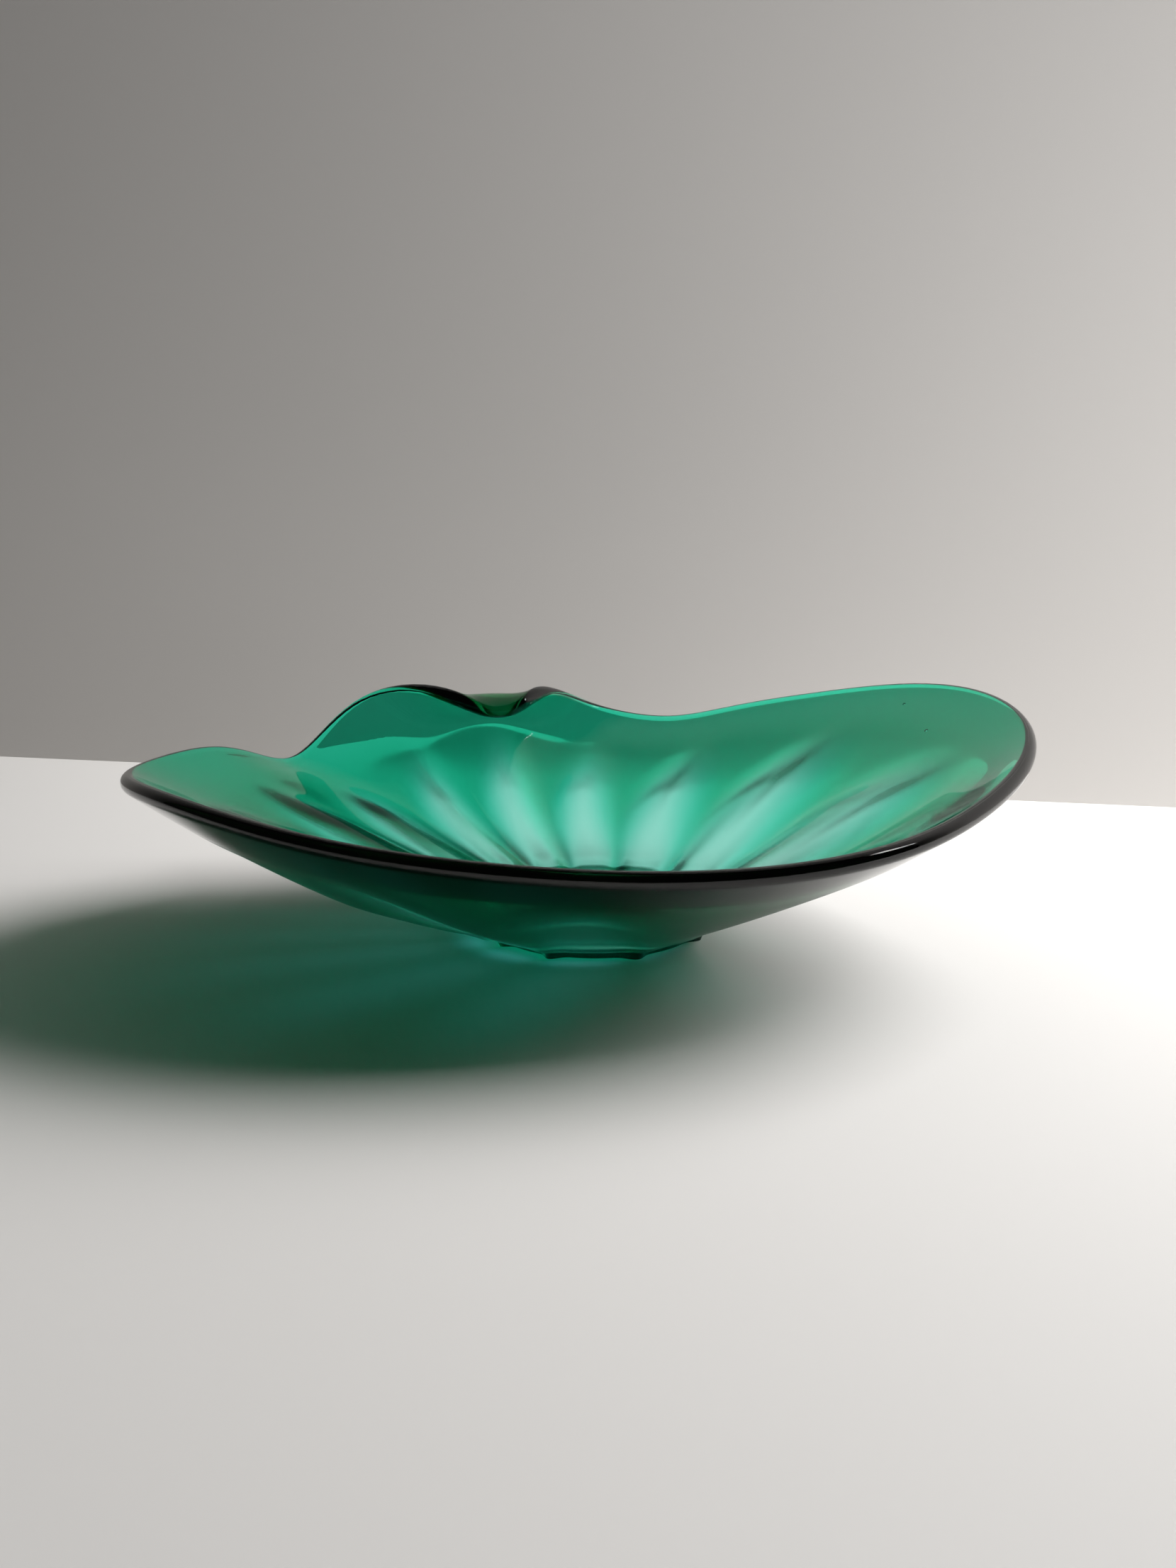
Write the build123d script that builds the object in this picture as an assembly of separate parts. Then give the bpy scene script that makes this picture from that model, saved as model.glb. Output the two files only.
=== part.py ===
"""Free-form art glass bowl: a fluted emerald casing fused over a clear inner gather.

Millimetres and degrees. +Z is up and the origin is the middle of the ground base, on the table.
Azimuth 0 is +X, the tall lobe's side, and azimuth 90 is +Y, the side with the folded lip.
"Climb" runs up the wall: 0 at the edge of the base, 1 at the rim.
"""
from build123d import *
from collections import namedtuple
from math import atan2, cos, degrees, exp, hypot, radians, sin
import os

# ---- Overall sizes ----
BOWL_WIDTH = 267.0        # outer wall at the rim, along X, before the rim's waves
BOWL_DEPTH = 232.0        # outer wall at the rim, along Y, before the rim's waves
RIM_HEIGHT = 47.0         # table to the outer wall's edge at the rim, before the rim's waves
RIM_SHIFT_X = -4.0        # the rim's centre lies a little left of the base
WALL_STEEPENING = 0.30    # 0 is a straight cone; more is flatter at the base and steeper at the rim

# ---- Glass thicknesses ----
WALL = 6.4                # whole wall, measured at a ridge
LINING = 2.2              # clear gather inside it
LINING_AT_RIM = 1.2       # the gather thins to this where the bead starts
RIM_BEAD = 5.0            # diameter of the fire-polished rim
BEAD_TAPER_CLIMB = 0.80   # the wall starts to thin towards the bead here
FLOOR = WALL - 0.4        # whole thickness over the middle of the base

# ---- Ground base ----
BASE_RADIUS = 34.0        # to the ends of the ridges
BASE_SCALLOP = 3.5        # each flute cuts this far into the base's outline
FLOOR_DISC_RADIUS = BASE_RADIUS - 14.0    # flat middle of the inside and of the lining's underside
FLOOR_BEND_RADIUS = BASE_RADIUS - 9.0     # the floor is level out to here, then turns up

# ---- Flutes pressed into the outside ----
FLUTE_COUNT = 13
CASING_IN_FLUTE = 1.0     # what a flute leaves of the casing
FLUTE_DEPTH = WALL - LINING - CASING_IN_FLUTE
FLUTE_START = 79.0        # turn at which one ridge lies
CROWDING = 17.0           # the flutes are closer together on the folded side, by up to this turn
CROWDING_AZIMUTH = 120.0  # where they are closest
FAN_X = -20.0             # higher up, the ridges fan out from this point beside the base's middle
FAN_Y = 10.0
FAN_AT_BASE = 0.45        # at the base, the fan starts this share of the way out to that point
FAN_CLIMB = 0.6           # and all the way from here up
RIDGE_AT_BASE = 0.24      # half of a ridge, as a share of half a flute, at the base
RIDGE_AT_RIM = 0.95       # and at the rim
LOW_RIDGE = 0.30          # height of a ridge's low end, as a share of its full height
FULL_RIDGE_CLIMB = 0.75   # a ridge reaches its full height here
ARCH_TOP_CLIMB = 0.86     # a flute's rounded end, on its centre line
ARCH_DROP = 0.25          # the arch's shoulders are this much lower at the ridges
ARCH_FADE = 0.30          # climb over which the flute runs out
BASE_FADE = 0.20          # climb over which it deepens above the base

# ---- Waves of the rim ----
# "rise" and "push" lift the wall and move it outwards at the rim; "grip" is the power with which
# they die away down the wall, so a large grip keeps a wave near the rim.
Wave = namedtuple("Wave", "azimuth spread rise push grip")
WAVES = (
    Wave(azimuth=19, spread=38, rise=19.0, push=3.0, grip=1.3),      # tall right lobe
    Wave(azimuth=-28, spread=20, rise=0.0, push=-4.0, grip=2.0),     # flattened front right
    Wave(azimuth=-70, spread=40, rise=-5.0, push=0.0, grip=1.2),     # low front
    Wave(azimuth=-150, spread=26, rise=4.5, push=0.0, grip=1.2),     # left shoulder
    Wave(azimuth=178, spread=20, rise=-1.0, push=4.0, grip=2.0),     # tongue at the left tip
    Wave(azimuth=145, spread=10, rise=-11.0, push=-2.0, grip=3.0),   # notch beside the fold
    Wave(azimuth=113, spread=22, rise=6.5, push=0.0, grip=3.0),     # folded back wall
    Wave(azimuth=133, spread=8, rise=5.5, push=0.0, grip=4.0),       # shoulder above the notch
    Wave(azimuth=74, spread=12, rise=-3.5, push=0.0, grip=2.0),      # saddle at the back
)

# "sag" moves the middle of the wall up or down and leaves the base and the rim where they are.
Sag = namedtuple("Sag", "azimuth spread sag")
SAGS = (
    Sag(azimuth=185, spread=60, sag=-3.0),
    Sag(azimuth=-5, spread=50, sag=2.5),
)

# ---- Lip rolled over between the fold's two humps ----
CURL_AZIMUTH = 112.0
CURL_SPREAD = 14.0
CURL_START_CLIMB = 0.80
CURL_LIFT = 16.5          # the wall under the lip stands this much taller
CURL_LIFT_SPREAD = 12.5
CURL_LENGTH = 34.0        # up the wall from the start of the roll to the rim
CURL_TURN = 178.0         # the lip turns over through this angle
CURL_WALL_SLOPE = 48.0    # slope of the wall where the roll starts

# ---- How finely the surfaces are drawn ----
POINTS_PER_FLUTE = 14
WALL_CLIMBS = (0.08, 0.2, 0.34, 0.48, 0.6, 0.68, 0.74, 0.79, 0.83, 0.87, 0.91, 0.955)
LINING_END_ANGLE = 50     # the gather ends here on the bead, a little inside the rim's tip
CASING_BEAD_ANGLES = (25, 0, -25, -55)
GATHER_BEAD_ANGLES = (70,)
SLOPE_STEP = 0.001


def turn_between(azimuth, other):
    """Signed turn from one azimuth to another, -180 to 180."""
    return (azimuth - other + 180.0) % 360.0 - 180.0


def swell(azimuth, centre, spread):
    """Smooth bump of height 1 around an azimuth."""
    return exp(-((turn_between(azimuth, centre) / spread) ** 2))


def smooth_step(value):
    """0 below 0, 1 above 1, and a smooth ramp between them."""
    clamped = min(max(value, 0.0), 1.0)
    return clamped * clamped * (3.0 - 2.0 * clamped)


def curl_shift(azimuth, climb):
    """How far the rolled lip lies from a straight one: outwards and upwards."""
    rolled = max(climb - CURL_START_CLIMB, 0.0) / (1 - CURL_START_CLIMB)
    turn = radians(CURL_TURN) * swell(azimuth, CURL_AZIMUTH, CURL_SPREAD)
    if rolled * turn < 1e-9:
        return 0.0, 0.0
    slope = radians(CURL_WALL_SLOPE)
    radius = CURL_LENGTH / turn
    out = radius * (sin(slope + turn * rolled) - sin(slope)) - CURL_LENGTH * rolled * cos(slope)
    up = radius * (cos(slope) - cos(slope + turn * rolled)) - CURL_LENGTH * rolled * sin(slope)
    return out, up


def wall_point(azimuth, climb):
    """Outer face of the wall along the ridges, without its flutes."""
    across = cos(radians(azimuth))
    along = sin(radians(azimuth))
    half_width = BOWL_WIDTH / 2
    half_depth = BOWL_DEPTH / 2
    rim_radius = half_width * half_depth / hypot(half_depth * across, half_width * along)
    radius = BASE_RADIUS + (rim_radius - BASE_RADIUS) * climb
    height = RIM_HEIGHT * ((1 - WALL_STEEPENING) * climb + WALL_STEEPENING * climb**2)
    for wave in WAVES:
        strength = swell(azimuth, wave.azimuth, wave.spread) * climb**wave.grip
        radius += wave.push * strength
        height += wave.rise * strength
    for sag in SAGS:
        height += sag.sag * swell(azimuth, sag.azimuth, sag.spread) * 4 * climb * (1 - climb)
    height += CURL_LIFT * swell(azimuth, CURL_AZIMUTH, CURL_LIFT_SPREAD) * climb**3
    out, up = curl_shift(azimuth, climb)
    radius += out
    height += up
    return Vector(RIM_SHIFT_X * climb + radius * across, radius * along, height)


def wall_frame(azimuth, climb):
    """Point on the outer face, the direction into the bowl, and the direction up the wall."""
    low = max(climb - SLOPE_STEP, 0.0)
    up_wall = (wall_point(azimuth, climb + SLOPE_STEP) - wall_point(azimuth, low)).normalized()
    around = wall_point(azimuth + SLOPE_STEP, climb) - wall_point(azimuth - SLOPE_STEP, climb)
    inward = up_wall.cross(around).normalized()
    return wall_point(azimuth, climb), inward, up_wall


def wall_thickness(climb):
    """Full wall up to the taper, then down to the bead's diameter at the rim."""
    taper = smooth_step((climb - BEAD_TAPER_CLIMB) / (1 - BEAD_TAPER_CLIMB))
    return WALL + (RIM_BEAD - WALL) * taper


def flute_turn(azimuth, climb):
    """Turn of a place around the fan of flutes, evened out so that every flute takes the same turn."""
    radius = BASE_RADIUS + ((BOWL_WIDTH + BOWL_DEPTH) / 4 - BASE_RADIUS) * climb
    shift = FAN_AT_BASE + (1 - FAN_AT_BASE) * smooth_step(climb / FAN_CLIMB)
    x = radius * cos(radians(azimuth)) - FAN_X * shift
    y = radius * sin(radians(azimuth)) - FAN_Y * shift
    turn = degrees(atan2(y, x))
    return turn + CROWDING * sin(radians(turn - CROWDING_AZIMUTH))


def between_ridges(azimuth, climb):
    """How far off a flute's centre line this is, and a share: 0 on a ridge, near 1 in mid-flute."""
    pitch = 360.0 / FLUTE_COUNT
    from_ridge = (flute_turn(azimuth, climb) - FLUTE_START) % pitch
    off_centre = abs(from_ridge / pitch * 2 - 1)
    ridge = RIDGE_AT_BASE + (RIDGE_AT_RIM - RIDGE_AT_BASE) * climb
    return off_centre, 1 - exp(-(((1 - off_centre) / ridge) ** 2))


def flute_shape(azimuth, climb):
    """Share of the flute depth: 1 in a flute, 0 above its arch, near 1 on the low ends of ridges."""
    off_centre, across = between_ridges(azimuth, climb)
    arch = ARCH_TOP_CLIMB - ARCH_DROP * off_centre**2
    ridge_height = LOW_RIDGE + (1 - LOW_RIDGE) * smooth_step(climb / FULL_RIDGE_CLIMB)
    ends = smooth_step((climb + BASE_FADE / 4) / BASE_FADE) * smooth_step((arch - climb) / ARCH_FADE)
    return (1 - (1 - across) * ridge_height) * ends


def outer_point(azimuth, climb):
    """Fluted outside of the casing."""
    point, inward, _ = wall_frame(azimuth, climb)
    return point + inward * (FLUTE_DEPTH * flute_shape(azimuth, climb))


def base_point(azimuth):
    """Scalloped edge of the ground base, on the table."""
    radius = BASE_RADIUS - BASE_SCALLOP * between_ridges(azimuth, 0.0)[1]
    return Vector(radius * cos(radians(azimuth)), radius * sin(radians(azimuth)), 0)


def interface_point(azimuth, climb):
    """Where the casing and the gather are fused, up to the start of the bead."""
    point, inward, _ = wall_frame(azimuth, climb)
    share = smooth_step((climb - BEAD_TAPER_CLIMB) / (1 - BEAD_TAPER_CLIMB))
    depth = wall_thickness(climb) - LINING + (LINING - LINING_AT_RIM) * share
    return point + inward * depth


def inner_point(azimuth, climb):
    """Smooth inside of the bowl."""
    point, inward, _ = wall_frame(azimuth, climb)
    return point + inward * wall_thickness(climb)


def bead_point(azimuth, angle):
    """Round edge of the rim: -90 on the outside, 0 at the tip, 90 on the inside."""
    point, inward, up_wall = wall_frame(azimuth, 1.0)
    radius = RIM_BEAD / 2
    out = up_wall * (radius * cos(radians(angle)))
    return point + inward * (radius + radius * sin(radians(angle))) + out


def floor_point(azimuth, reach, height):
    """Level floor inside the base."""
    return Vector(reach * cos(radians(azimuth)), reach * sin(radians(azimuth)), height)


def ring(place, *values):
    """Closed smooth curve round the bowl."""
    count = FLUTE_COUNT * POINTS_PER_FLUTE
    points = [place(360.0 * step / count, *values) for step in range(count)]
    knots = [step / count for step in range(count + 1)]
    return Wire([Edge.make_spline(points, periodic=True, parameters=knots)])


def skin(rings):
    """Smooth face through a stack of rings."""
    return Shell.make_loft(rings).faces()


def solid_from(faces):
    """Closed solid whose whole surface is the given faces."""
    return Solid(Shell(faces))


# ---- Rings ----
base_ring = ring(base_point)
outer_rim_ring = ring(outer_point, 1.0)
interface_disc_ring = ring(floor_point, FLOOR_DISC_RADIUS, FLOOR - LINING)
interface_floor_ring = ring(floor_point, FLOOR_BEND_RADIUS, FLOOR - LINING)
inner_disc_ring = ring(floor_point, FLOOR_DISC_RADIUS, FLOOR)
inner_floor_ring = ring(floor_point, FLOOR_BEND_RADIUS, FLOOR)
interface_rim_ring = ring(interface_point, 1.0)
inner_rim_ring = ring(inner_point, 1.0)
lining_end_ring = ring(bead_point, LINING_END_ANGLE)

outer_rings = [base_ring] + [ring(outer_point, climb) for climb in WALL_CLIMBS] + [outer_rim_ring]
interface_rings = [interface_disc_ring, interface_floor_ring, ring(interface_point, 0.0)]
interface_rings += [ring(interface_point, climb) for climb in WALL_CLIMBS] + [interface_rim_ring]
inner_rings = [inner_disc_ring, inner_floor_ring, ring(inner_point, 0.0)]
inner_rings += [ring(inner_point, climb) for climb in WALL_CLIMBS] + [inner_rim_ring]
casing_bead = [ring(bead_point, angle) for angle in CASING_BEAD_ANGLES]
gather_bead = [ring(bead_point, angle) for angle in GATHER_BEAD_ANGLES]
outer_bead = [lining_end_ring] + casing_bead + [outer_rim_ring]
inner_bead = [lining_end_ring] + gather_bead + [inner_rim_ring]

# ---- Faces ----
base_face = Face(base_ring)
outer_faces = skin(outer_rings) + skin(outer_bead)
fused_faces = skin(interface_rings) + skin([interface_rim_ring, lining_end_ring])
fused_faces += [Face(interface_disc_ring)]
inner_faces = skin(inner_rings) + skin(inner_bead) + [Face(inner_disc_ring)]

pieces = {
    "emerald_outer_casing": solid_from([base_face] + outer_faces + fused_faces),
    "crystal_inner_gather": solid_from(fused_faces + inner_faces),
}

os.makedirs("parts", exist_ok=True)
for name, solid in pieces.items():
    solid.label = name
    export_step(solid, f"parts/{name}.step")
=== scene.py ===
"""Looks of the free-form art glass bowl: an emerald casing fused over a clear inner gather.

Lengths are in metres. Azimuth 0 is +X, the tall lobe's side, and azimuth 90 is +Y, the folded lip's side.
"Climb" runs up the wall: 0 at the edge of the base, 1 at the rim.
"""
from collections import namedtuple
from functools import lru_cache
from random import Random
from math import atan2, cos, degrees, exp, hypot, radians, sin, tau

import bmesh
import bpy
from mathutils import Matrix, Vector


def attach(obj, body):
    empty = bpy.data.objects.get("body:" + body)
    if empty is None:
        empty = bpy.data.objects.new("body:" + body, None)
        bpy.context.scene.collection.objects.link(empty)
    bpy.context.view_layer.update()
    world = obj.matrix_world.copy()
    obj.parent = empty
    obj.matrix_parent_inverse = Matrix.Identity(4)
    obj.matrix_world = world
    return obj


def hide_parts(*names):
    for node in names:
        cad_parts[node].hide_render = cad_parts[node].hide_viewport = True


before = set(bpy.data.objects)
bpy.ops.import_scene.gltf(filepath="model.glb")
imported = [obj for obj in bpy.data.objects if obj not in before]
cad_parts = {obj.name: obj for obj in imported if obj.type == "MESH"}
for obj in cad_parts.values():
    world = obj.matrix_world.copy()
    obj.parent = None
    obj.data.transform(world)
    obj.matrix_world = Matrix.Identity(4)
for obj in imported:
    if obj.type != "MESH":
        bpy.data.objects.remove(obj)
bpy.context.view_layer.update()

MM = 0.001

# ---- The bowl's sizes, as its CAD model has them ----
BOWL_WIDTH = 267.0 * MM
BOWL_DEPTH = 232.0 * MM
RIM_HEIGHT = 47.0 * MM
RIM_SHIFT_X = -4.0 * MM
WALL_STEEPENING = 0.30
WALL = 6.4 * MM
LINING = 2.2 * MM
LINING_AT_RIM = 1.2 * MM
LINING_END_ANGLE = 50.0
RIM_BEAD = 5.0 * MM
BEAD_TAPER_CLIMB = 0.80
FLOOR = 6.0 * MM
BASE_RADIUS = 34.0 * MM
BASE_SCALLOP = 3.5 * MM
FLUTE_COUNT = 13
FLUTE_DEPTH = 3.2 * MM
FLUTE_START = 79.0
CROWDING = 17.0
CROWDING_AZIMUTH = 120.0
FAN_X = -20.0 * MM
FAN_Y = 10.0 * MM
FAN_AT_BASE = 0.45
FAN_CLIMB = 0.6
RIDGE_AT_BASE = 0.24
RIDGE_AT_RIM = 0.95
LOW_RIDGE = 0.30
FULL_RIDGE_CLIMB = 0.75
ARCH_TOP_CLIMB = 0.86
ARCH_DROP = 0.25
ARCH_FADE = 0.30
BASE_FADE = 0.20

Wave = namedtuple("Wave", "azimuth spread rise push grip")
WAVES = (
    Wave(azimuth=19, spread=38, rise=19.0 * MM, push=3.0 * MM, grip=1.3),      # tall right lobe
    Wave(azimuth=-28, spread=20, rise=0.0 * MM, push=-4.0 * MM, grip=2.0),     # flattened front right
    Wave(azimuth=-70, spread=40, rise=-5.0 * MM, push=0.0 * MM, grip=1.2),     # low front
    Wave(azimuth=-150, spread=26, rise=4.5 * MM, push=0.0 * MM, grip=1.2),     # left shoulder
    Wave(azimuth=178, spread=20, rise=-1.0 * MM, push=4.0 * MM, grip=2.0),     # tongue at the left tip
    Wave(azimuth=145, spread=10, rise=-11.0 * MM, push=-2.0 * MM, grip=3.0),   # notch beside the fold
    Wave(azimuth=113, spread=22, rise=6.5 * MM, push=0.0 * MM, grip=3.0),     # folded back wall
    Wave(azimuth=133, spread=8, rise=5.5 * MM, push=0.0 * MM, grip=4.0),       # shoulder above the notch
    Wave(azimuth=74, spread=12, rise=-3.5 * MM, push=0.0 * MM, grip=2.0),      # saddle at the back
)
Sag = namedtuple("Sag", "azimuth spread sag")
SAGS = (
    Sag(azimuth=185, spread=60, sag=-3.0 * MM),
    Sag(azimuth=-5, spread=50, sag=2.5 * MM),
)
CURL_AZIMUTH = 112.0
CURL_SPREAD = 14.0
CURL_START_CLIMB = 0.80
CURL_LIFT = 16.5 * MM
CURL_LIFT_SPREAD = 12.5
CURL_LENGTH = 34.0 * MM
CURL_TURN = 178.0
CURL_WALL_SLOPE = 48.0
SLOPE_STEP = 0.001

# ---- How finely the glass is drawn ----
STEPS_AROUND = FLUTE_COUNT * 22
WALL_STEPS = 72
BEAD_STEPS = 8
FLOOR_STEPS = 10
BASE_BLEND_CLIMB = 0.08
FUSION_GAP = 0.02 * MM
MERGE_DISTANCE = 0.002 * MM

# ---- Finish: fire polished, and duller where the fluting mould chilled the outside ----
POLISHED_ROUGHNESS = 0.01
CHILL_ROUGHNESS = 0.26
CHILL_TOP_CLIMB = 0.90
CHILL_FADE = 0.15
GLASS_IOR = 1.5

# ---- Colour of a metre of each glass, as absorption colour and density ----
EMERALD = ((0.0, 0.82, 0.70), 1000.0)
CRYSTAL = ((0.4, 0.9, 0.8), 20.0)

# ---- What one face of the bowl lets through of the lamps' light ----
LAMP_TINT = (0.105, 0.345, 0.30)
# Over the base the tint is lighter, which paints a lighter patch into the bowl's shadow under its base.
LAMP_TINT_OVER_BASE = (0.22, 0.82, 0.86)

# ---- Seeds: small bubbles left in the emerald glass ----
SEED_DEPTH = 1.7 * MM
FINE_SEEDS = 55
LOBE_SEEDS = ((28.0, 0.93, 0.6 * MM), (17.0, 0.84, 0.7 * MM))
FINE_SEED_AZIMUTHS = (-142, -45)
FINE_SEED_CLIMBS = (0.84, 0.97)
FINE_SEED_DEPTHS = (0.25, 0.6)      # shares of twice the seed depth
FINE_SEED_RADII = (0.09, 0.17)

# ---- Stage ----
WALL_FOOT = ((-0.297, 0.311), (0.246, 0.188))
STAGE_REACH = 1.5
TABLE_DEPTH = 2.2
PALE_PAPER = (0.83, 0.81, 0.785)
GREY_WALL = (0.64, 0.62, 0.60)
STAGE_ROUGHNESS = 0.8
FILL_STRENGTH = 0.015

# ---- Camera: its focal length and sensor are in the same units ----
CAMERA_PLACE = (0, -0.490, 0.1406)
CAMERA_TILT = 90 - 10.907
CAMERA_TURN = 0.262
SENSOR_WIDTH = 36.0
LENS = SENSOR_WIDTH * 2300 / 1659


def turn_between(azimuth, other):
    """Signed turn from one azimuth to another, -180 to 180."""
    return (azimuth - other + 180.0) % 360.0 - 180.0


def swell(azimuth, centre, spread):
    """Smooth bump of height 1 around an azimuth."""
    return exp(-((turn_between(azimuth, centre) / spread) ** 2))


def smooth_step(value):
    """0 below 0, 1 above 1, and a smooth ramp between them."""
    clamped = min(max(value, 0.0), 1.0)
    return clamped * clamped * (3.0 - 2.0 * clamped)


def curl_shift(azimuth, climb):
    """How far the rolled lip lies from a straight one: outwards and upwards."""
    rolled = max(climb - CURL_START_CLIMB, 0.0) / (1 - CURL_START_CLIMB)
    turn = radians(CURL_TURN) * swell(azimuth, CURL_AZIMUTH, CURL_SPREAD)
    if rolled * turn < 1e-9:
        return 0.0, 0.0
    slope = radians(CURL_WALL_SLOPE)
    radius = CURL_LENGTH / turn
    out = radius * (sin(slope + turn * rolled) - sin(slope)) - CURL_LENGTH * rolled * cos(slope)
    up = radius * (cos(slope) - cos(slope + turn * rolled)) - CURL_LENGTH * rolled * sin(slope)
    return out, up


def wall_point(azimuth, climb):
    """Outer face of the wall along the ridges, without its flutes."""
    across = cos(radians(azimuth))
    along = sin(radians(azimuth))
    half_width = BOWL_WIDTH / 2
    half_depth = BOWL_DEPTH / 2
    rim_radius = half_width * half_depth / hypot(half_depth * across, half_width * along)
    radius = BASE_RADIUS + (rim_radius - BASE_RADIUS) * climb
    height = RIM_HEIGHT * ((1 - WALL_STEEPENING) * climb + WALL_STEEPENING * climb**2)
    for wave in WAVES:
        strength = swell(azimuth, wave.azimuth, wave.spread) * climb**wave.grip
        radius += wave.push * strength
        height += wave.rise * strength
    for sag in SAGS:
        height += sag.sag * swell(azimuth, sag.azimuth, sag.spread) * 4 * climb * (1 - climb)
    height += CURL_LIFT * swell(azimuth, CURL_AZIMUTH, CURL_LIFT_SPREAD) * climb**3
    out, up = curl_shift(azimuth, climb)
    radius += out
    height += up
    return Vector((RIM_SHIFT_X * climb + radius * across, radius * along, height))


@lru_cache(maxsize=None)
def wall_frame(azimuth, climb):
    """Point on the outer face, the direction into the bowl, and the direction up the wall."""
    low = max(climb - SLOPE_STEP, 0.0)
    up_wall = (wall_point(azimuth, climb + SLOPE_STEP) - wall_point(azimuth, low)).normalized()
    around = wall_point(azimuth + SLOPE_STEP, climb) - wall_point(azimuth - SLOPE_STEP, climb)
    inward = up_wall.cross(around).normalized()
    return wall_point(azimuth, climb), inward, up_wall


def bead_share(climb):
    """0 in the full wall, rising to 1 where the wall has thinned to the rim's bead."""
    return smooth_step((climb - BEAD_TAPER_CLIMB) / (1 - BEAD_TAPER_CLIMB))


def flute_turn(azimuth, climb):
    """Turn of a place around the fan of flutes, evened out so that every flute takes the same turn."""
    radius = BASE_RADIUS + ((BOWL_WIDTH + BOWL_DEPTH) / 4 - BASE_RADIUS) * climb
    shift = FAN_AT_BASE + (1 - FAN_AT_BASE) * smooth_step(climb / FAN_CLIMB)
    x = radius * cos(radians(azimuth)) - FAN_X * shift
    y = radius * sin(radians(azimuth)) - FAN_Y * shift
    turn = degrees(atan2(y, x))
    return turn + CROWDING * sin(radians(turn - CROWDING_AZIMUTH))


def between_ridges(azimuth, climb):
    """How far off a flute's centre line this is, and a share: 0 on a ridge, near 1 in mid-flute."""
    pitch = 360.0 / FLUTE_COUNT
    from_ridge = (flute_turn(azimuth, climb) - FLUTE_START) % pitch
    off_centre = abs(from_ridge / pitch * 2 - 1)
    ridge = RIDGE_AT_BASE + (RIDGE_AT_RIM - RIDGE_AT_BASE) * climb
    return off_centre, 1 - exp(-(((1 - off_centre) / ridge) ** 2))


def flute_shape(azimuth, climb):
    """Share of the flute depth: 1 in a flute, 0 above its arch, near 1 on the low ends of ridges."""
    off_centre, across = between_ridges(azimuth, climb)
    arch = ARCH_TOP_CLIMB - ARCH_DROP * off_centre**2
    ridge_height = LOW_RIDGE + (1 - LOW_RIDGE) * smooth_step(climb / FULL_RIDGE_CLIMB)
    ends = smooth_step((climb + BASE_FADE / 4) / BASE_FADE) * smooth_step((arch - climb) / ARCH_FADE)
    return (1 - (1 - across) * ridge_height) * ends


def base_point(azimuth):
    """Scalloped edge of the ground base, on the table."""
    radius = BASE_RADIUS - BASE_SCALLOP * between_ridges(azimuth, 0.0)[1]
    return Vector((radius * cos(radians(azimuth)), radius * sin(radians(azimuth)), 0))


def outer_point(azimuth, climb):
    """Fluted outside of the casing, which runs down into the base's scalloped edge."""
    reached = max(climb, BASE_BLEND_CLIMB)
    point, inward, _ = wall_frame(azimuth, reached)
    point += inward * (FLUTE_DEPTH * flute_shape(azimuth, reached))
    if climb < BASE_BLEND_CLIMB:
        point = base_point(azimuth).lerp(point, climb / BASE_BLEND_CLIMB)
    return point


def inside_point(azimuth, climb, depth, bead_depth):
    """Point in the wall, at one depth from its outer face low down and at another at the rim."""
    point, inward, _ = wall_frame(azimuth, climb)
    return point + inward * (depth + (bead_depth - depth) * bead_share(climb))


def bead_point(azimuth, angle):
    """Round edge of the rim: -90 on the outside, 0 at the tip, 90 on the inside."""
    point, inward, up_wall = wall_frame(azimuth, 1.0)
    radius = RIM_BEAD / 2
    return point + inward * radius * (1 + sin(radians(angle))) + up_wall * radius * cos(radians(angle))


def floor_point(azimuth, share, edge, height):
    """Level floor, which ends on the wall's lowest ring."""
    flat = Vector((edge.x * share, edge.y * share, height))
    return flat.lerp(Vector((edge.x * share, edge.y * share, edge.z)), share**4)


def inner_stations():
    """The smooth inside, from the middle of the floor up to the rim's tip."""
    def floor(share):
        return lambda a: floor_point(a, share, inside_point(a, 0, WALL, RIM_BEAD), FLOOR)

    def wall(climb):
        return lambda a: inside_point(a, climb, WALL, RIM_BEAD)

    def bead(angle):
        return lambda a: bead_point(a, angle)

    stations = [floor(i / FLOOR_STEPS) for i in range(FLOOR_STEPS)]
    stations += [wall(i / WALL_STEPS) for i in range(WALL_STEPS + 1)]
    stations += [bead(90 - (90 - LINING_END_ANGLE) * i / BEAD_STEPS) for i in range(1, BEAD_STEPS)]
    return stations


def fused_stations(shift):
    """The face between the two glasses, from the middle of the floor up to the rim's tip."""
    depth = WALL - LINING + shift

    bead_depth = RIM_BEAD - LINING_AT_RIM
    height = FLOOR - LINING + shift

    def floor(share):
        return lambda a: floor_point(a, share, inside_point(a, 0, depth, bead_depth), height)

    def wall(climb):
        return lambda a: inside_point(a, climb, depth, bead_depth + shift)

    stations = [floor(i / FLOOR_STEPS) for i in range(FLOOR_STEPS)]
    return stations + [wall(i / WALL_STEPS) for i in range(WALL_STEPS + 1)]


def outer_stations():
    """The fluted outside, from the middle of the base up to the rim's tip."""
    def base(share):
        return lambda a: base_point(a) * share

    def wall(climb):
        return lambda a: outer_point(a, climb)

    def bead(angle):
        return lambda a: bead_point(a, angle)

    stations = [base(i / FLOOR_STEPS) for i in range(FLOOR_STEPS)]
    stations += [wall(i / WALL_STEPS) for i in range(WALL_STEPS + 1)]
    bead_turn = 90 + LINING_END_ANGLE
    bead_steps = 2 * BEAD_STEPS
    stations += [bead(-90 + bead_turn * i / bead_steps) for i in range(1, bead_steps)]
    return stations


def tip_station(tilt):
    """The gather's end on the bead, moved a hair towards one glass so that the two don't touch."""
    return lambda a: bead_point(a, LINING_END_ANGLE + tilt)


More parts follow.
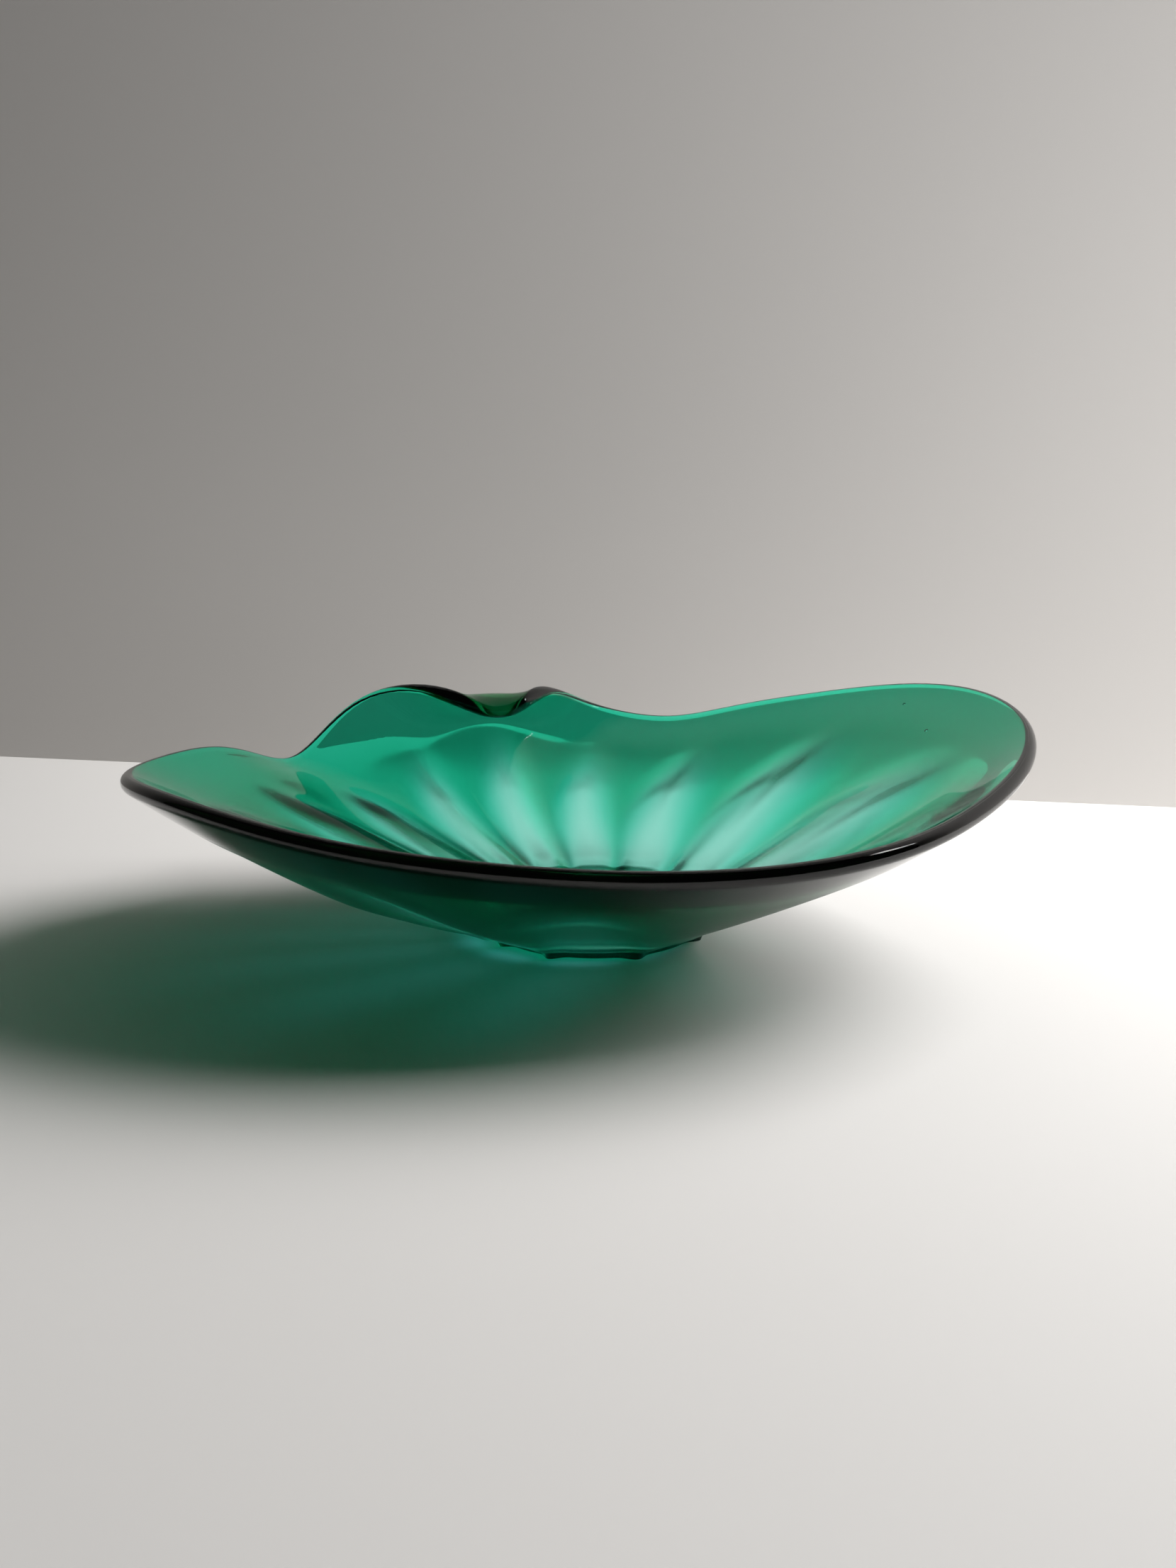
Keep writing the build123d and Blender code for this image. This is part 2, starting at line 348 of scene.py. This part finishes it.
def blown_body(name, stations, marks):
    """Closed body of glass: a spun disc whose rings are laid through the stations, one ring each.

    The marks are attributes that the glass materials read, each with its values by station:
    "fused" is 1 where the two glasses meet, because no light bends there, "mould_chill" says how
    strongly the fluting mould has dulled the surface, and "lighter_shadow_over_base" is 1 over the base,
    where the lamps' light goes through with a lighter tint: a painted lighter patch in the shadow under
    the base.
    """
    bm = bmesh.new()
    start = bmesh.ops.create_vert(bm, co=(0, 0, 0))["vert"][0]
    reach = [start]
    for i in range(1, len(stations)):
        grown = bmesh.ops.extrude_vert_indiv(bm, verts=[reach[-1]])["verts"][0]
        grown.co = (i, 0, 0)
        reach.append(grown)
    bmesh.ops.spin(bm, geom=bm.verts[:] + bm.edges[:], axis=(0, 0, 1), cent=(0, 0, 0), dvec=(0, 0, 0),
                   angle=tau, steps=STEPS_AROUND, use_merge=True)
    for mark in marks:
        bm.verts.layers.float.new(mark)
    layers = {mark: bm.verts.layers.float[mark] for mark in marks}
    for v in bm.verts:
        station = round(hypot(v.co.x, v.co.y))
        azimuth = 360.0 / STEPS_AROUND * round(atan2(v.co.y, v.co.x) / tau * STEPS_AROUND)
        for mark, values in marks.items():
            v[layers[mark]] = values.get(station, 0.0)
        v.co = stations[station](azimuth)
    bmesh.ops.remove_doubles(bm, verts=bm.verts[:], dist=MERGE_DISTANCE)
    bmesh.ops.recalc_face_normals(bm, faces=bm.faces[:])
    for face in bm.faces:
        face.smooth = True
    mesh = bpy.data.meshes.new(name)
    bm.to_mesh(mesh)
    bm.free()
    piece = bpy.data.objects.new(name, mesh)
    bpy.context.scene.collection.objects.link(piece)
    return piece


def seed_bubble(bm, azimuth, climb, depth, radius):
    """Small round bubble in the casing, whose faces point into its air."""
    point, inward, _ = wall_frame(azimuth, climb)
    made = bmesh.ops.create_icosphere(bm, subdivisions=2, radius=radius)["verts"]
    bmesh.ops.translate(bm, verts=made, vec=point + inward * depth)
    faces = {face for v in made for face in v.link_faces}
    bmesh.ops.reverse_faces(bm, faces=list(faces))
    for face in faces:
        face.smooth = True


def make_seeds(casing):
    """Two seeds in the tall lobe and fine ones along the front of the rim."""
    bm = bmesh.new()
    bm.from_mesh(casing.data)
    for azimuth, climb, radius in LOBE_SEEDS:
        seed_bubble(bm, azimuth, climb, SEED_DEPTH, radius)
    draw = Random(11)
    for _ in range(FINE_SEEDS):
        azimuth = draw.uniform(*FINE_SEED_AZIMUTHS)
        climb = draw.uniform(*FINE_SEED_CLIMBS)
        depth = draw.uniform(*FINE_SEED_DEPTHS) * SEED_DEPTH * 2
        radius = draw.uniform(*FINE_SEED_RADII) * MM
        seed_bubble(bm, azimuth, climb, depth, radius)
    bm.to_mesh(casing.data)
    bm.free()


def make_casing():
    """Emerald casing: the fused face, then over the rim and down the fluted outside."""
    inside = fused_stations(-FUSION_GAP / 2)
    outside = [tip_station(-1.0)] + outer_stations()[::-1]
    rim = len(inside) + 2 * BEAD_STEPS
    foot = rim + WALL_STEPS
    chill = {}
    for i in range(WALL_STEPS + 1):
        below_rim = CHILL_TOP_CLIMB - 1 + i / WALL_STEPS
        chill[rim + i] = smooth_step(below_rim / CHILL_FADE)
    marks = {
        "fused": {i: 1.0 for i in range(len(inside))},
        "mould_chill": chill,
        "lighter_shadow_over_base": {foot + i: 1.0 for i in range(FLOOR_STEPS + 1)},
    }
    return blown_body("emerald_outer_casing_glass", inside + outside, marks)


def make_gather():
    """Clear gather: the smooth inside, then over the rim and down the fused face."""
    inside = inner_stations() + [tip_station(1.0)]
    outside = fused_stations(FUSION_GAP / 2)[::-1]
    marks = {
        "fused": {len(inside) + i: 1.0 for i in range(len(outside))},
        "mould_chill": {},
        "lighter_shadow_over_base": {i: 1.0 for i in range(FLOOR_STEPS + 1)},
    }
    return blown_body("crystal_inner_gather_glass", inside + outside, marks)


# ---- Materials ----
def new_material(name):
    """Empty node material and its output."""
    material = bpy.data.materials.new(name)
    material.use_nodes = True
    nodes = material.node_tree.nodes
    nodes.clear()
    return material, nodes, material.node_tree.links, nodes.new("ShaderNodeOutputMaterial")


def glass_material(name, tint, density):
    """Polished glass that darkens with depth, lets lamps through, and bends no light where fused."""
    material, nodes, links, output = new_material(name)
    glass = nodes.new("ShaderNodeBsdfPrincipled")
    glass.inputs["Base Color"].default_value = (1, 1, 1, 1)
    glass.inputs["IOR"].default_value = GLASS_IOR
    glass.inputs["Transmission Weight"].default_value = 1.0
    chill = nodes.new("ShaderNodeAttribute")
    chill.attribute_name = "mould_chill"
    rough = nodes.new("ShaderNodeMath")
    rough.operation = "MULTIPLY_ADD"
    rough.inputs[1].default_value = CHILL_ROUGHNESS
    rough.inputs[2].default_value = POLISHED_ROUGHNESS
    links.new(chill.outputs["Fac"], rough.inputs[0])
    links.new(rough.outputs[0], glass.inputs["Roughness"])
    absorption = nodes.new("ShaderNodeVolumeAbsorption")
    absorption.inputs["Color"].default_value = (*tint, 1)
    absorption.inputs["Density"].default_value = density
    lamp = nodes.new("ShaderNodeBsdfTransparent")
    # Over the base the lamps' light goes through with the lighter tint: a painted lighter patch in the
    # shadow under the base.
    over_base = nodes.new("ShaderNodeAttribute")
    over_base.attribute_name = "lighter_shadow_over_base"
    lamp_colour = nodes.new("ShaderNodeMix")
    lamp_colour.data_type = "RGBA"
    links.new(over_base.outputs["Fac"], lamp_colour.inputs[0])
    colour_a, colour_b = (socket for socket in lamp_colour.inputs if socket.type == "RGBA")
    colour_a.default_value = (*LAMP_TINT, 1)
    colour_b.default_value = (*LAMP_TINT_OVER_BASE, 1)
    mixed = next(socket for socket in lamp_colour.outputs if socket.type == "RGBA")
    links.new(mixed, lamp.inputs["Color"])
    path = nodes.new("ShaderNodeLightPath")
    either = nodes.new("ShaderNodeMath")
    either.operation = "MAXIMUM"
    links.new(path.outputs["Is Shadow Ray"], either.inputs[0])
    links.new(path.outputs["Is Diffuse Ray"], either.inputs[1])
    lit = nodes.new("ShaderNodeMixShader")
    links.new(either.outputs[0], lit.inputs[0])
    links.new(glass.outputs[0], lit.inputs[1])
    links.new(lamp.outputs[0], lit.inputs[2])
    fused = nodes.new("ShaderNodeAttribute")
    fused.attribute_name = "fused"
    clear = nodes.new("ShaderNodeBsdfTransparent")
    surface = nodes.new("ShaderNodeMixShader")
    step = nodes.new("ShaderNodeMath")
    step.operation = "GREATER_THAN"
    step.inputs[1].default_value = 0.5
    links.new(fused.outputs["Fac"], step.inputs[0])
    links.new(step.outputs[0], surface.inputs[0])
    links.new(lit.outputs[0], surface.inputs[1])
    links.new(clear.outputs[0], surface.inputs[2])
    links.new(surface.outputs[0], output.inputs["Surface"])
    links.new(absorption.outputs[0], output.inputs["Volume"])
    return material


def plain_material(name, colour, roughness):
    """Matt material of one colour, for the stage."""
    material, nodes, links, output = new_material(name)
    shader = nodes.new("ShaderNodeBsdfPrincipled")
    shader.inputs["Base Color"].default_value = (*colour, 1)
    shader.inputs["Roughness"].default_value = roughness
    links.new(shader.outputs[0], output.inputs["Surface"])
    return material


def hide_back(material):
    """Makes a stage sheet invisible from behind, so that it never stands in front of the bowl."""
    nodes, links = material.node_tree.nodes, material.node_tree.links
    output = next(n for n in nodes if n.type == "OUTPUT_MATERIAL")
    shader = output.inputs["Surface"].links[0].from_node
    side = nodes.new("ShaderNodeNewGeometry")
    clear = nodes.new("ShaderNodeBsdfTransparent")
    mix = nodes.new("ShaderNodeMixShader")
    links.new(side.outputs["Backfacing"], mix.inputs[0])
    links.new(shader.outputs[0], mix.inputs[1])
    links.new(clear.outputs[0], mix.inputs[2])
    links.new(mix.outputs[0], output.inputs["Surface"])


def aim(obj, target):
    """Turns a camera or a light to face a point."""
    obj.rotation_euler = (Vector(target) - obj.location).to_track_quat("-Z", "Y").to_euler()


def flat_sheet(name, corners, material):
    """Flat stage sheet through four corners."""
    bm = bmesh.new()
    bmesh.ops.create_grid(bm, x_segments=1, y_segments=1, size=1)
    for vert in bm.verts:
        across, up = (vert.co.x + 1) / 2, (vert.co.y + 1) / 2
        low = corners[0].lerp(corners[1], across)
        vert.co = low.lerp(corners[2].lerp(corners[3], across), up)
    mesh = bpy.data.meshes.new(name)
    bm.to_mesh(mesh)
    bm.free()
    sheet = bpy.data.objects.new(name, mesh)
    bpy.context.scene.collection.objects.link(sheet)
    sheet.data.materials.append(material)
    return sheet


def make_stage():
    """Pale table with a plain grey wall behind the bowl."""
    left, right = (Vector((*p, 0)) for p in WALL_FOOT)
    along = (right - left).normalized()
    front = Vector((along.y, -along.x, 0)) * TABLE_DEPTH
    far_left = left - along * STAGE_REACH
    far_right = right + along * STAGE_REACH
    table = (far_left + front, far_right + front, far_left - front, far_right - front)
    flat_sheet("studio_table", table, plain_material("pale_paper", PALE_PAPER, STAGE_ROUGHNESS))
    up = Vector((0, 0, STAGE_REACH))
    wall_foot = (far_left, far_right, far_left + up, far_right + up)
    grey_wall = plain_material("grey_wall", GREY_WALL, STAGE_ROUGHNESS)
    hide_back(grey_wall)
    wall = flat_sheet("studio_wall", wall_foot, grey_wall)
    wall.visible_shadow = False


def area_light(name, place, target, size, power):
    """White rectangular light that faces a target."""
    data = bpy.data.lights.new(name, "AREA")
    data.shape = "RECTANGLE"
    data.size, data.size_y = size
    data.energy = power
    light = bpy.data.objects.new(name, data)
    light.location = place
    aim(light, target)
    bpy.context.scene.collection.objects.link(light)
    return light


def make_lights():
    """A window beyond the right of the bowl, a wash for the wall alone, and a faint fill all round."""
    area_light("window_key", (0.82, 0.43, 0.70), (0, 0, 0.02), (1.0, 0.6), 23.0)
    wash = area_light("wall_wash", (0.4, -0.357, 0.221), (0, 0.25, 0.3), (0.5, 0.5), 2.9)
    wall_only = bpy.data.collections.new("lit_by_wall_wash")
    wall_only.objects.link(bpy.data.objects["studio_wall"])
    wash.light_linking.receiver_collection = wall_only
    world = bpy.data.worlds.new("studio_fill")
    world.use_nodes = True
    background = world.node_tree.nodes["Background"]
    background.inputs["Color"].default_value = (1, 1, 1, 1)
    background.inputs["Strength"].default_value = FILL_STRENGTH
    bpy.context.scene.world = world


def make_camera():
    """Camera in front of the bowl, a little above its rim."""
    data = bpy.data.cameras.new("camera")
    data.sensor_fit = "HORIZONTAL"
    data.sensor_width = SENSOR_WIDTH
    data.lens = LENS
    camera = bpy.data.objects.new("camera", data)
    camera.location = CAMERA_PLACE
    camera.rotation_euler = (radians(CAMERA_TILT), 0, radians(CAMERA_TURN))
    bpy.context.scene.collection.objects.link(camera)
    bpy.context.scene.camera = camera


casing = make_casing()
make_seeds(casing)
casing.data.materials.append(glass_material("emerald_glass", *EMERALD))
gather = make_gather()
gather.data.materials.append(glass_material("crystal_glass", *CRYSTAL))
for piece, node, slot in (
    (casing, "emerald_outer_casing", "emerald_glass"),
    (gather, "crystal_inner_gather", "clear_glass"),
):
    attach(piece, "root")
    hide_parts(node)
make_stage()
make_lights()
make_camera()
bpy.context.scene.view_settings.view_transform = "Standard"
